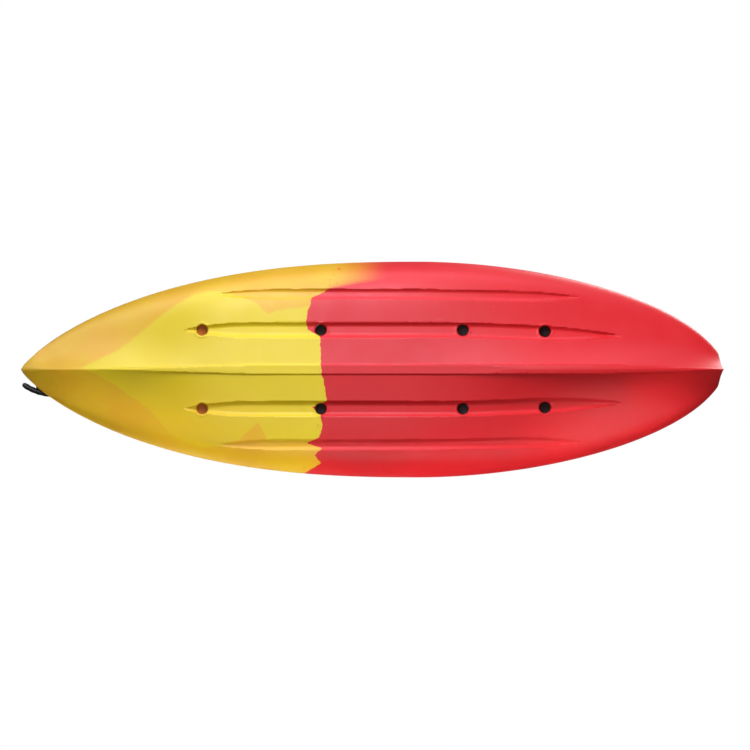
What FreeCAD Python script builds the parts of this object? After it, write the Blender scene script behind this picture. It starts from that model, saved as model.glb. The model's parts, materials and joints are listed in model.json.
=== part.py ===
import FreeCAD, Part
import math
import os

# A one-piece rotationally moulded sit-on-top kayak with its deck fittings, in millimetres.
# +X points to the bow, +Y to port, +Z up. The origin is at mid-length on the surface that the
# keel rests on. A station s runs from 0 at the bow to 1 at the transom.

Vector = FreeCAD.Vector
UP = Vector(0, 0, 1)
PORT, STARBOARD = 1, -1

# ---- driving dimensions: the moulding ----
LENGTH = 2700.0
HALF_BEAM = 415.0
WALL = 4.0
WIDEST_STATION = 0.571
FORE_POWERS = (2.465, 0.758)
AFT_POWERS = (1.869, 0.558)
AFT_RUN = 0.43556            # stations from the widest one to where the sides would meet
GUNWALE_BAND = 18.0
DECK_CROWN = 30.0
SHEER_MIDSHIPS = 250.0
SHEER_RISE_BOW = 90.0
SHEER_RISE_STERN = 60.0
ROCKER_BOW = 300.0
ROCKER_STERN = 170.0
KEEL_STRIP_HEIGHT = 4.0
KEEL_STRIP_HALF_WIDTH = 17.5
KEEL_STRIP_FLATTENING = 2.2  # cut off the strip's lowest line, so that its face is level
TRANSOM_HALF_WIDTH = 72.0
TRANSOM_V_DEPTH = 9.5

# ---- driving dimensions: grooves, scuppers and wells ----
INNER_GROOVE_Y = 148.0
INNER_GROOVE_HALF_WIDTH = 29.0
INNER_GROOVE_DEPTH = 12.0
OUTER_GROOVE_Y = 283.0
OUTER_GROOVE_HALF_WIDTH = 20.0
OUTER_GROOVE_DEPTH = 9.0
SCUPPER_RADIUS_BOTTOM = 20.5
SCUPPER_RADIUS_TOP = 24.0
SCUPPERS = {"knee": (185.0, 148.0, 127.0), "seat": (-350.0, 148.0, 135.0), "tank": (-662.0, 144.0, 190.0)}
BLIND_SOCKET = (632.0, 148.0, 60.0)   # a scupper in outline only, closed this high up
SEAT_FLOOR = 135.0
TANK_FLOOR = 190.0
LEG_FLOOR_AFT = 122.0
LEG_FLOOR_SLOPE = 0.058
LEG_WELL_AFT = 100.0
CONSOLE_TOP = 262.0

# ---- driving dimensions: fittings ----
BOW_HATCH_X = 985.0
BOW_HATCH_SEAT = 334.0
BOW_HATCH_RADIUS = 120.0
CONSOLE_HATCH_X = 330.0
CONSOLE_HATCH_RADIUS = 100.0
HATCH_FLANGE_WIDTH = 22.0
HATCH_FLANGE_THICKNESS = 5.0
HATCH_NECK_DEPTH = 20.0
GASKET_GAP = 0.05
RUNNING_GAP = 0.4
SCREW_HEAD_RADIUS = 4.6
SCREW_SHANK_RADIUS = 2.4
SCREW_HOLE_RADIUS = 2.6
SCREW_LENGTH = 13.0
SADDLE_HALF_LENGTH = 33.0
SADDLE_HALF_WIDTH = 8.0
SADDLE_FOOT_THICKNESS = 3.5
SADDLE_SCREW_X = 25.0
SADDLE_OPENING = (14.0, 9.0)
SADDLE_BAR = (8.0, 5.0)
SADDLE_BAR_Z = SADDLE_OPENING[1] + SADDLE_BAR[1] / 2
STRAP_WIDTH = 22.0
STRAP_THICKNESS = 2.0
STRAP_EYE_RADII = (5.2, 7.2)
BOW_SADDLE = (1288.0, 366.0)
STERN_SADDLE = (-1262.0, 341.0)
TOGGLE_RADIUS = 11.0
TOGGLE_HALF_ANGLE = 17.0
TOGGLE_BEND_RADIUS = 210.0
TOGGLE_REACH = 88.0
BOW_TOGGLE_DROP = 7.0        # degrees below level
BOW_TOGGLE_YAW = 17.0
STERN_TOGGLE_DROP = 4.0
HANDLE_X = -100.0
HANDLE_Y = 365.0
HANDLE_SEAT = 281.0
HANDLE_SADDLE_SPREAD = 115.0
HANDLE_REACH = 44.0
HANDLE_GRIP_RADIUS = 13.0
HANDLE_GRIP_HALF_LENGTH = 60.0
HANDLE_RISE = 8.0            # degrees above level
ROD_HOLDER = (-455.0, 322.0, 281.0)
ROD_HOLDER_TILT = 30.0
ROD_TUBE_RADII = (21.0, 24.0)
ROD_TUBE_ABOVE = 32.0
ROD_TUBE_BELOW = 165.0
ROD_TUBE_FLOOR = 5.0
ROD_FLANGE = (50.0, 35.0)
ROD_FLANGE_THICKNESS = 4.0
ROD_GASKET_THICKNESS = 1.5
DRAIN = (-1185.0, 0.0, 331.0)
DRAIN_FLANGE_RADIUS = 20.0
DRAIN_TUBE_RADII = (8.0, 11.0)
PLUG_SINK = 3.0              # top of a scupper plug below the well floor
PLUG_LENGTH = 40.0
PLUG_WALL = 4.0
PLUG_GAP = 0.4
TANK_SADDLES = ((-560.0, 302.0, 293.5), (-740.0, 280.0, 301.0), (-910.0, 222.0, 312.0))
SEAT_SADDLES = ((-330.0, 285.0, 292.0), (40.0, 285.0, 292.0))


# ---- hull form ----

def smooth(value):
    """Ease from 0 to 1 with level ends."""
    value = max(0.0, min(1.0, value))
    return value * value * (3 - 2 * value)


def station(x):
    return (LENGTH / 2 - x) / LENGTH


def half_beam(s):
    """Half the width of the plan outline at a station."""
    if s <= WIDEST_STATION:
        u = (WIDEST_STATION - s) / WIDEST_STATION
        first, second = FORE_POWERS
    else:
        u = (s - WIDEST_STATION) / AFT_RUN
        first, second = AFT_POWERS
    return HALF_BEAM * max(0.0, 1 - u ** first) ** second


def keel_height(s):
    if s < 0.42:
        return KEEL_STRIP_HEIGHT + ROCKER_BOW * ((0.42 - s) / 0.42) ** 3.4
    if s > 0.62:
        return KEEL_STRIP_HEIGHT + ROCKER_STERN * ((s - 0.62) / 0.38) ** 2.6
    return KEEL_STRIP_HEIGHT


def sheer_height(s):
    """Height of the lower edge of the gunwale band."""
    if s < 0.55:
        rise = SHEER_RISE_BOW * ((0.55 - s) / 0.55) ** 2
    else:
        rise = SHEER_RISE_STERN * ((s - 0.55) / 0.45) ** 2
    return KEEL_STRIP_HEIGHT + SHEER_MIDSHIPS + rise


def bottom_share(t, s):
    """Height of the bottom between keel (0) and sheer (1) at the share t of the half-beam."""
    flat = 0.08 * (1 - (1 - t) ** 2.4) + 0.92 * (1 - math.sqrt(max(0.0, 1 - t ** 7)))
    vee = 0.6 * (1 - (1 - t) ** 2.5) + 0.4 * (1 - math.sqrt(max(0.0, 1 - t ** 6)))
    weight = smooth((0.30 - s) / 0.26) + smooth((s - 0.52) / 0.42)
    return flat + weight * (vee - flat)


def bottom_height(x, y):
    s = station(x)
    t = min(1.0, abs(y) / max(half_beam(s), 1.0))
    return keel_height(s) + (sheer_height(s) - keel_height(s)) * bottom_share(t, s)


def crown(s):
    return DECK_CROWN * (half_beam(s) / HALF_BEAM) ** 0.7


# ---- outlines and simple solids ----

def spline(points):
    curve = Part.BSplineCurve()
    curve.interpolate(points)
    return curve.toShape()


def line(start, end):
    return Part.LineSegment(start, end).toShape()


def hull_section(x, side_inset, skin):
    """Closed section: both bottom halves, the gunwale bands and the deck, moved inwards by skin."""
    s = station(x)
    beam = half_beam(s) - side_inset
    shares = (0, 0.06, 0.16, 0.3, 0.45, 0.6, 0.73, 0.82, 0.9, 0.95, 0.985, 1)
    low = keel_height(s)
    high = sheer_height(s)

    def bottom_point(side, t):
        return Vector(x, side * beam * t, low + (high - low) * bottom_share(t, s) + skin)

    port = [bottom_point(PORT, t) for t in reversed(shares)]
    starboard = [bottom_point(STARBOARD, t) for t in shares]
    top = high + GUNWALE_BAND - skin
    deck = [Vector(x, beam * t, top + crown(s) * (1 - t * t)) for t in (-1, -0.75, -0.4, 0, 0.4, 0.75, 1)]
    edges = [spline(port), spline(starboard), line(starboard[-1], deck[0]),
             spline(deck), line(deck[-1], port[0])]
    return Part.Wire(edges)


def hull_loft(stations, side_inset, skin):
    sections = [hull_section(LENGTH / 2 - LENGTH * s, side_inset, skin) for s in stations]
    return Part.makeLoft(sections, True, False)


def below_bottom(lift):
    """Everything from under the hull up to its bottom surface raised by lift, short of the bilges."""
    shares = (0, 0.1, 0.25, 0.4, 0.55, 0.7, 0.8, 0.88)
    floor = -60.0
    sections = []
    for s in (0.18, 0.22, 0.27, 0.33, 0.42, 0.52, 0.62, 0.70, 0.76, 0.82, 0.88):
        x = LENGTH / 2 - LENGTH * s
        beam = half_beam(s)
        port = [Vector(x, beam * t, bottom_height(x, beam * t) + lift) for t in reversed(shares)]
        starboard = [Vector(x, -point.y, point.z) for point in reversed(port)]
        low_port = Vector(x, port[0].y, floor)
        low_starboard = Vector(x, -port[0].y, floor)
        sections.append(Part.Wire([spline(port), spline(starboard), line(starboard[-1], low_starboard),
                                   line(low_starboard, low_port), line(low_port, port[0])]))
    return Part.makeLoft(sections, True, False)


def rounded_outline(corners, z):
    """Closed wire through (x, y, radius) corners, each rounded by a tangent arc."""
    count = len(corners)
    arcs = []
    for index in range(count):
        x, y, radius = corners[index]
        here = Vector(x, y, z)
        before = Vector(corners[index - 1][0], corners[index - 1][1], z)
        after = Vector(corners[(index + 1) % count][0], corners[(index + 1) % count][1], z)
        back = (before - here).normalize()
        ahead = (after - here).normalize()
        half_angle = back.getAngle(ahead) / 2
        reach = radius / math.tan(half_angle)
        to_centre = (back + ahead).normalize()
        middle = here + to_centre * (radius / math.sin(half_angle) - radius)
        arcs.append((here + back * reach, middle, here + ahead * reach))
    edges = []
    for index in range(count):
        start, middle, end = arcs[index]
        edges.append(Part.Arc(start, middle, end).toShape())
        following = arcs[(index + 1) % count][0]
        if (following - end).Length > 1e-6:
            edges.append(line(end, following))
    return Part.Wire(edges)


def box(x0, x1, y0, y1, z0, z1):
    return Part.makeBox(x1 - x0, y1 - y0, z1 - z0, Vector(x0, y0, z0))


def cylinder(radius, x, y, z0, z1):
    return Part.makeCylinder(radius, z1 - z0, Vector(x, y, z0))


def tube(outer, inner, x, y, z0, z1):
    return cylinder(outer, x, y, z0, z1).cut(cylinder(inner, x, y, z0 - 1, z1 + 1))


def mirrored(shape):
    return shape.mirror(Vector(0, 0, 0), Vector(0, 1, 0))


def fuse_all(shapes):
    return shapes[0].multiFuse(shapes[1:]) if len(shapes) > 1 else shapes[0]


# ---- features of the moulding ----

def well(corners, floor, fillet, grow, slope=0.0, slope_start=0.0):
    """A recess open at the deck: its plan outline grown by the skin, with a rounded floor edge."""
    outline = rounded_outline(corners, 0.0)
    if grow:
        outline = outline.makeOffset2D(grow)
    tool = Part.Face(outline).extrude(Vector(0, 0, 500))
    low = floor - grow
    reach = LENGTH
    below = [Vector(slope_start + sign * reach, -reach / 2, z) for sign, z in
             ((-1, -reach), (1, -reach), (1, low + slope * reach), (-1, low - slope * reach))]
    tool = tool.cut(Part.Face(Part.makePolygon(below + below[:1])).extrude(Vector(0, reach, 0)))
    if fillet:
        rim = [edge for edge in tool.Edges
               if all(abs(v.Z - (low + slope * (v.X - slope_start))) < 1e-3 for v in edge.Vertexes)]
        tool = tool.makeFillet(fillet + grow, rim)
    return tool


def leg_well(grow):
    """Port leg well: it curves outwards round the console hatch, and its outer wall has foot steps."""
    corners = ((LEG_WELL_AFT, 58, 30), (200, 118, 40), (460, 118, 60), (570, 50, 40),
               (860, 50, 45), (860, 172, 60), (620, 222, 120), (LEG_WELL_AFT, 245, 60))
    tool = well(corners, LEG_FLOOR_AFT, 24, grow, LEG_FLOOR_SLOPE, LEG_WELL_AFT)
    steps = []
    for x, outer_wall in ((520, 228), (600, 222), (680, 210), (760, 193)):
        low = LEG_FLOOR_AFT + LEG_FLOOR_SLOPE * (x - LEG_WELL_AFT) + 25 - grow
        steps.append(box(x - 20 - grow, x + 20 + grow, outer_wall - 40, outer_wall + 18 + grow,
                         low, low + 62 + 2 * grow))
    return tool.multiFuse(steps)


def wells(grow):
    """All recesses in the deck."""
    seat = well(((150, 235, 100), (-420, 235, 110), (-420, -235, 110), (150, -235, 100)),
                SEAT_FLOOR, 34, grow)
    port_leg = leg_well(grow)
    tank = well(((-500, 245, 60), (-960, 150, 60), (-960, -150, 60), (-500, -245, 60)),
                TANK_FLOOR, 24, grow)
    console = well(((160, 117, 20), (160, -117, 20), (880, -117, 60), (880, 117, 60)), CONSOLE_TOP, 0, grow)
    bow_seat = cylinder(BOW_HATCH_RADIUS + 12 + grow, BOW_HATCH_X, 0, BOW_HATCH_SEAT - grow, 500)
    drain_seat = cylinder(DRAIN_FLANGE_RADIUS + 6 + grow, DRAIN[0], DRAIN[1], DRAIN[2] - grow, 500)
    tools = [seat, port_leg, mirrored(port_leg), tank, console, bow_seat, drain_seat]
    x, y, z = ROD_HOLDER
    half_x, half_y = ROD_FLANGE
    for side in (PORT, STARBOARD):
        corners = [(x + sign_x * (half_x + 5), side * y + sign_y * (half_y + 5), 20)
                   for sign_x, sign_y in ((1, 1), (-1, 1), (-1, -1), (1, -1))]
        tools.append(well(corners, z, 0, grow))
    return tools


def groove(centre_y, half_width, front, rear, depth, grow):
    """Port groove of the bottom: a long recess with pointed ends, rear and front as (x, y, taper)."""
    def centre(x):
        share = smooth((x - rear[0]) / 700.0)
        return rear[1] + (centre_y - rear[1]) * share

    def half(x):
        share = min(1.0, (front[0] - x) / front[2], (x - rear[0]) / rear[2])
        return grow + half_width * math.sin(math.pi / 2 * max(0.0, share)) ** 0.8

    span = front[0] - rear[0]
    shares = (0, 0.03, 0.08, 0.14, 0.22, 0.35, 0.5, 0.65, 0.78, 0.86, 0.92, 0.97, 1)
    xs = [rear[0] + span * share for share in shares]
    left = [Vector(x, centre(x) + half(x) + 0.5, -40) for x in xs]
    right = [Vector(x, centre(x) - half(x) - 0.5, -40) for x in reversed(xs)]
    outline = Part.Wire([spline(left), line(left[-1], right[0]), spline(right), line(right[-1], left[0])])
    column = Part.Face(outline).extrude(Vector(0, 0, 400))
    return column.common(below_bottom(depth + grow))


def grooves(grow):
    inner = groove(INNER_GROOVE_Y, INNER_GROOVE_HALF_WIDTH, (705, 148, 260), (-963, 128, 330),
                   INNER_GROOVE_DEPTH, grow)
    outer = groove(OUTER_GROOVE_Y, OUTER_GROOVE_HALF_WIDTH, (586, 281, 230), (-809, 275, 260),
                   OUTER_GROOVE_DEPTH, grow)
    return [inner, mirrored(inner), outer, mirrored(outer)]


def scupper_radius(z, floor):
    """Radius of a drain hole at a height: a little wider at the well floor than at the bottom."""
    return SCUPPER_RADIUS_BOTTOM + (SCUPPER_RADIUS_TOP - SCUPPER_RADIUS_BOTTOM) * z / floor


def scupper_cone(x, y, floor, z0, z1, grow):
    return Part.makeCone(scupper_radius(z0, floor) + grow, scupper_radius(z1, floor) + grow,
                         z1 - z0, Vector(x, y, z0))


def scuppers(grow):
    """Drain holes from the well floors to the bottom, and the two blind sockets forward of them."""
    tools = []
    for side in (PORT, STARBOARD):
        for x, y, floor in SCUPPERS.values():
            tools.append(scupper_cone(x, side * y, floor, -5, floor + 25, grow))
        x, y, depth = BLIND_SOCKET
        tools.append(cylinder(SCUPPER_RADIUS_BOTTOM + grow, x, side * y, -5, depth + grow))
    return tools


def saddle_places():
    """(x, y, seat height) of every saddle on the deck, grouped by what it holds."""
    places = {"bow": [(BOW_SADDLE[0], 0.0, BOW_SADDLE[1])],
              "stern": [(STERN_SADDLE[0], 0.0, STERN_SADDLE[1])]}
    for name, side in (("port", PORT), ("starboard", STARBOARD)):
        places[name + "_handle"] = [(HANDLE_X + sign * HANDLE_SADDLE_SPREAD, side * HANDLE_Y, HANDLE_SEAT)
                                    for sign in (1, -1)]
    for name, group in (("tank_well", TANK_SADDLES), ("seat", SEAT_SADDLES)):
        places[name] = [(x, side * y, z) for side in (PORT, STARBOARD) for x, y, z in group]
    return places


def saddle_bosses():
    """Level pads that the moulding has under each saddle."""
    bosses = []
    for group in saddle_places().values():
        for x, y, seat in group:
            edge = SADDLE_HALF_LENGTH + 3
            side = SADDLE_HALF_WIDTH + 3
            corners = ((x + edge, y + side, 6), (x - edge, y + side, 6),
                       (x - edge, y - side, 6), (x + edge, y - side, 6))
            bosses.append(Part.Face(rounded_outline(corners, seat - 16)).extrude(Vector(0, 0, 16)))
    return bosses


def keel_strip():
    """The wear strip along the keel, a little proud of the bottom and narrowing to both ends."""
    w = KEEL_STRIP_HALF_WIDTH
    plan = ((1040, 2), (462, w), (-886, w), (-1330, 5), (-1330, -5), (-886, -w), (462, -w), (1040, -2))
    points = [Vector(x, y, -20) for x, y in plan]
    column = Part.Face(Part.makePolygon(points + points[:1])).extrude(Vector(0, 0, 225))
    lowered = hull_loft(OUTER_STATIONS, 0, 0)
    return column.common(lowered.translated(Vector(0, 0, -KEEL_STRIP_HEIGHT - KEEL_STRIP_FLATTENING)))


def transom_cut():
    """Port wedge that gives the transom its shallow V."""
    aft = -LENGTH / 2
    far = 3 * TRANSOM_HALF_WIDTH
    points = [Vector(aft, 0, -50), Vector(aft + TRANSOM_V_DEPTH * 3, far, -50),
              Vector(aft - 60, far, -50), Vector(aft - 60, 0, -50)]
    return Part.Face(Part.makePolygon(points + points[:1])).extrude(Vector(0, 0, 600))


OUTER_STATIONS = (0.00005, 0.005, 0.014, 0.03, 0.055, 0.09, 0.14, 0.20, 0.27, 0.35, 0.45, 0.571,
                  0.68, 0.76, 0.83, 0.89, 0.935, 0.97, 0.99, 1.0)
INNER_STATIONS = (0.022, 0.035, 0.055, 0.09, 0.14, 0.20, 0.27, 0.35, 0.45, 0.571,
                  0.68, 0.76, 0.83, 0.89, 0.935, 0.97, 0.99)


def hatch_hole(x, radius, seat):
    neck = radius - HATCH_FLANGE_WIDTH + 5
    return cylinder(neck + 0.5, x, 0, seat - 30, seat + 5)


def rod_hole(side):
    """Oval opening in the deck skin that the slanting tube goes through."""
    x, y, z = ROD_HOLDER
    half_x, half_y = 33.0, 26.0
    corners = [(x + sx * half_x, side * y + sy * half_y, half_y - 0.5)
               for sx, sy in ((1, 1), (-1, 1), (-1, -1), (1, -1))]
    return Part.Face(rounded_outline(corners, z - 20)).extrude(Vector(0, 0, 30))


def hull():
    outer = hull_loft(OUTER_STATIONS, 0, 0).multiFuse([keel_strip()] + saddle_bosses())
    outer = outer.cut(box(-LENGTH, LENGTH, -500, 500, -50, 0))
    cuts = [transom_cut(), mirrored(transom_cut())]
    cuts += wells(0) + grooves(0) + scuppers(0)
    cuts += [hatch_hole(BOW_HATCH_X, BOW_HATCH_RADIUS, BOW_HATCH_SEAT),
             hatch_hole(CONSOLE_HATCH_X, CONSOLE_HATCH_RADIUS, CONSOLE_TOP),
             cylinder(DRAIN_TUBE_RADII[1] + 0.5, DRAIN[0], DRAIN[1], DRAIN[2] - 30, DRAIN[2] + 5),
             rod_hole(PORT), rod_hole(STARBOARD)]
    cavity = hull_loft(INNER_STATIONS, WALL, WALL)
    for tool in wells(WALL) + grooves(WALL) + scuppers(WALL):
        cavity = cavity.cut(tool)
    for tool in cuts:
        outer = outer.cut(tool)
    return outer.cut(cavity)


# ---- fittings ----

def screw(x, y, seat):
    """Self-tapping pan-head screw, its head on the seat height."""
    head = cylinder(SCREW_HEAD_RADIUS, x, y, seat, seat + 2.6)
    head = head.makeFillet(1.6, [edge for edge in head.Edges if edge.BoundBox.ZMin > seat + 2.5])
    shank = cylinder(SCREW_SHANK_RADIUS, x, y, seat - SCREW_LENGTH + 3, seat)
    point = Part.makeCone(0.4, SCREW_SHANK_RADIUS, 3, Vector(x, y, seat - SCREW_LENGTH))
    slots = [box(x - 2.6, x + 2.6, y - 0.5, y + 0.5, seat + 1.2, seat + 4),
             box(x - 0.5, x + 0.5, y - 2.6, y + 2.6, seat + 1.2, seat + 4)]
    return head.multiFuse([shank, point]).cut(slots[0]).cut(slots[1])


def ring_of_screws(x, radius, count, seat):
    angles = [2 * math.pi * (index + 0.5) / count for index in range(count)]
    return [screw(x + radius * math.cos(a), radius * math.sin(a), seat) for a in angles]


def saddle(x, y, seat):
    """Pad eye: two screwed feet joined by a raised bar that a strap loops round."""
    opening_half, opening_height = SADDLE_OPENING
    bar_width, bar_height = SADDLE_BAR
    top = opening_height + bar_height
    post = 4.0
    arch = box(-opening_half - post, opening_half + post, -bar_width / 2, bar_width / 2, 0, top)
    arch = arch.makeFillet(5.0, [edge for edge in arch.Edges
                                 if edge.BoundBox.ZMin > top - 0.1 and edge.BoundBox.XLength < 0.1])
    arch = arch.cut(box(-opening_half, opening_half, -20, 20, -1, opening_height))
    shapes = [arch]
    for sign in (1, -1):
        inner, outer = opening_half + 0.5, SADDLE_HALF_LENGTH
        foot = box(min(sign * inner, sign * outer), max(sign * inner, sign * outer),
                   -SADDLE_HALF_WIDTH, SADDLE_HALF_WIDTH, 0, SADDLE_FOOT_THICKNESS)
        corner = [edge for edge in foot.Edges
                  if edge.BoundBox.ZLength > 1 and abs(edge.BoundBox.XMin) > outer - 0.1]
        shapes.append(foot.makeFillet(6.0, corner))
    body = fuse_all(shapes)
    for sign in (1, -1):
        body = body.cut(cylinder(SCREW_HOLE_RADIUS, sign * SADDLE_SCREW_X, 0, -1, 10))
    return body.removeSplitter().translated(Vector(x, y, seat))


def saddle_screws(x, y, seat):
    return [screw(x + sign * SADDLE_SCREW_X, y, seat + SADDLE_FOOT_THICKNESS) for sign in (1, -1)]


def strap_eye(x):
    """Sewn loop of the strap round a saddle's bar, about the X axis."""
    inner, outer = STRAP_EYE_RADII
    start = Vector(x - STRAP_WIDTH / 2, 0, 0)
    along = Vector(1, 0, 0)
    ring = Part.makeCylinder(outer, STRAP_WIDTH, start, along)
    return ring.cut(Part.makeCylinder(inner, STRAP_WIDTH, start, along))


def toggle_bar():
    """Curved round bar with domed ends along X, its hollow side towards +Y, centred on the origin."""
    swing = TOGGLE_HALF_ANGLE * 2
    centre = Vector(0, TOGGLE_BEND_RADIUS, 0)
    start = Vector(0, 0, 0)
    profile = Part.Face(Part.Wire(Part.makeCircle(TOGGLE_RADIUS, start, Vector(1, 0, 0))))
    profile.rotate(centre, UP, -TOGGLE_HALF_ANGLE)
    bar = profile.revolve(centre, UP, swing)
    half = math.radians(TOGGLE_HALF_ANGLE)
    ends = []
    for sign in (1, -1):
        tip = Vector(sign * TOGGLE_BEND_RADIUS * math.sin(half),
                     TOGGLE_BEND_RADIUS * (1 - math.cos(half)), 0)
        ends.append(Part.makeSphere(TOGGLE_RADIUS, tip))
    return bar.multiFuse(ends).removeSplitter()


def toggle_set(x, seat, yaw, drop):
    """Strap and toggle that lie to starboard of their saddle, lowered by drop degrees."""
    ribbon = box(-STRAP_WIDTH / 2, STRAP_WIDTH / 2, -TOGGLE_REACH, -STRAP_EYE_RADII[0] - 0.3,
                 -STRAP_THICKNESS / 2, STRAP_THICKNESS / 2)
    strap = strap_eye(0).fuse(ribbon)
    bar = toggle_bar().rotated(Vector(0, 0, 0), UP, yaw).translated(Vector(0, -TOGGLE_REACH, 0))
    placed = []
    for shape in (strap, bar):
        shape = shape.rotated(Vector(0, 0, 0), Vector(1, 0, 0), drop)
        placed.append(shape.translated(Vector(x, 0, seat + SADDLE_BAR_Z)))
    return placed


def handle_set(side):
    """Strap and grip of a side carry handle, folded inboard over the deck."""
    half_strap = STRAP_WIDTH / 2
    spread = HANDLE_SADDLE_SPREAD
    corner = spread - 45
    outline = [(-spread - half_strap, 0), (-spread - half_strap, -12), (-corner - 9, -HANDLE_REACH - 8),
               (corner + 9, -HANDLE_REACH - 8), (spread + half_strap, -12), (spread + half_strap, 0),
               (spread - half_strap, 0), (spread - half_strap, -8), (corner, -HANDLE_REACH + 8),
               (-corner, -HANDLE_REACH + 8), (-spread + half_strap, -8), (-spread + half_strap, 0)]
    points = [Vector(x, y, -STRAP_THICKNESS / 2) for x, y in outline]
    ribbon = Part.Face(Part.makePolygon(points + points[:1])).extrude(Vector(0, 0, STRAP_THICKNESS))
    strap = ribbon
    for sign in (1, -1):
        bore = Part.makeCylinder(STRAP_EYE_RADII[0], 3 * STRAP_WIDTH,
                                 Vector(sign * spread - 1.5 * STRAP_WIDTH, 0, 0), Vector(1, 0, 0))
        strap = strap.cut(bore).fuse(strap_eye(sign * spread))
    half_grip = HANDLE_GRIP_HALF_LENGTH
    grip = Part.makeCylinder(HANDLE_GRIP_RADIUS, 2 * half_grip,
                             Vector(-half_grip, -HANDLE_REACH, 0), Vector(1, 0, 0))
    grip = grip.makeFillet(5.0, [edge for edge in grip.Edges if edge.BoundBox.XLength < 0.1])
    channel = box(-half_grip - 1, half_grip + 1, -HANDLE_REACH - 8.3, -HANDLE_REACH + 8.3, -1.3, 1.3)
    grip = grip.cut(channel)
    placed = []
    for shape in (strap, grip):
        shape = shape.rotated(Vector(0, 0, 0), Vector(1, 0, 0), -HANDLE_RISE)
        if side == STARBOARD:
            shape = mirrored(shape)
        placed.append(shape.translated(Vector(HANDLE_X, side * HANDLE_Y, HANDLE_SEAT + SADDLE_BAR_Z)))
    return placed


def hatch(x, seat, radius, screw_count):
    """Screwed deck ring, gasket and twist-off lid of a round hatch."""
    opening = radius - HATCH_FLANGE_WIDTH
    top = seat + HATCH_FLANGE_THICKNESS
    ring = tube(radius, opening, x, 0, seat, top)
    ring = ring.makeFillet(2.0, [edge for edge in ring.Edges
                                 if edge.BoundBox.ZMin > top - 0.1 and edge.BoundBox.XLength > 2 * radius - 1])
    ring = ring.fuse(tube(opening + 5, opening, x, 0, seat - HATCH_NECK_DEPTH, seat)).removeSplitter()
    screw_circle = radius - 8
    for index in range(screw_count):
        angle = 2 * math.pi * (index + 0.5) / screw_count
        ring = ring.cut(cylinder(SCREW_HOLE_RADIUS, x + screw_circle * math.cos(angle),
                                 screw_circle * math.sin(angle), seat - 1, top + 1))
    lip = opening + 7
    under = top + 1.3
    gasket = tube(lip - 1, opening + 1.5, x, 0, top + GASKET_GAP, under)
    lid = cylinder(lip, x, 0, under, under + 5)
    lid = lid.makeFillet(2.5, [edge for edge in lid.Edges if edge.BoundBox.ZMin > under + 4.9])
    skirt = tube(opening - RUNNING_GAP, opening - 5, x, 0, under - 17, under)
    grip = box(x - opening * 0.62, x + opening * 0.62, -9, 9, under + 4, under + 17)
    grip = grip.makeFillet(6.0, [edge for edge in grip.Edges if edge.BoundBox.ZMin > under + 16])
    lid = lid.multiFuse([skirt, grip]).removeSplitter()
    screws = ring_of_screws(x, screw_circle, screw_count, top)
    return ring, gasket, lid, screws


def rod_frame(shape, side):
    """Tilt a shape built about +Z so that its foot leans forward, and put it in its place."""
    x, y, z = ROD_HOLDER
    leaned = shape.rotated(Vector(0, 0, 0), Vector(0, 1, 0), -ROD_HOLDER_TILT)
    return leaned.translated(Vector(x, side * y, z))


def rod_flange(z0, z1, side, grow):
    x, y, _ = ROD_HOLDER
    half_x, half_y = ROD_FLANGE[0] + grow, ROD_FLANGE[1] + grow
    corners = [(x + sx * half_x, side * y + sy * half_y, 24)
               for sx, sy in ((1, 1), (-1, 1), (-1, -1), (1, -1))]
    return Part.Face(rounded_outline(corners, z0)).extrude(Vector(0, 0, z1 - z0))


def rod_holder(side):
    """Blind tube through the deck with an oval flange, the gasket under it and its four screws."""
    x, y, z = ROD_HOLDER
    inner, outer = ROD_TUBE_RADII
    seat = z + ROD_GASKET_THICKNESS
    top = seat + ROD_FLANGE_THICKNESS
    full = rod_frame(cylinder(outer, 0, 0, -ROD_TUBE_BELOW, ROD_TUBE_ABOVE), side)
    bore = rod_frame(cylinder(inner, 0, 0, -ROD_TUBE_BELOW + ROD_TUBE_FLOOR, ROD_TUBE_ABOVE + 5), side)
    holder = rod_flange(seat, top, side, 0).fuse(full).cut(bore)
    gasket = rod_flange(z, seat, side, 0).cut(rod_frame(cylinder(outer + 0.3, 0, 0, -60, 60), side))
    screws = []
    for sign_x, sign_y in ((1, 1), (1, -1), (-1, 1), (-1, -1)):
        place = (x + sign_x * 39, side * y + sign_y * 22)
        hole = cylinder(SCREW_HOLE_RADIUS, *place, z - 5, top + 1)
        holder = holder.cut(hole)
        gasket = gasket.cut(hole)
        screws.append(screw(*place, top))
    return holder, gasket, screws


def scupper_plug(x, y, floor):
    """Hollow tapered stopper just below the well floor, with a tab to pull it out by."""
    top = floor - PLUG_SINK
    plug = scupper_cone(x, y, floor, top - PLUG_LENGTH, top, -PLUG_GAP)
    plug = plug.cut(scupper_cone(x, y, floor, top - PLUG_LENGTH + 6, top + 1, -PLUG_GAP - PLUG_WALL))
    tab = box(x - 9, x + 9, y - 1.6, y + 1.6, top - PLUG_LENGTH + 5, top + 4)
    tab = tab.makeFillet(6.0, [edge for edge in tab.Edges
                               if edge.BoundBox.ZMin > top + 3.9 and edge.BoundBox.XLength < 0.1])
    tab = tab.cut(Part.makeCylinder(4.5, 10, Vector(x, y - 5, top - 5), Vector(0, 1, 0)))
    return plug.fuse(tab).removeSplitter()


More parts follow.
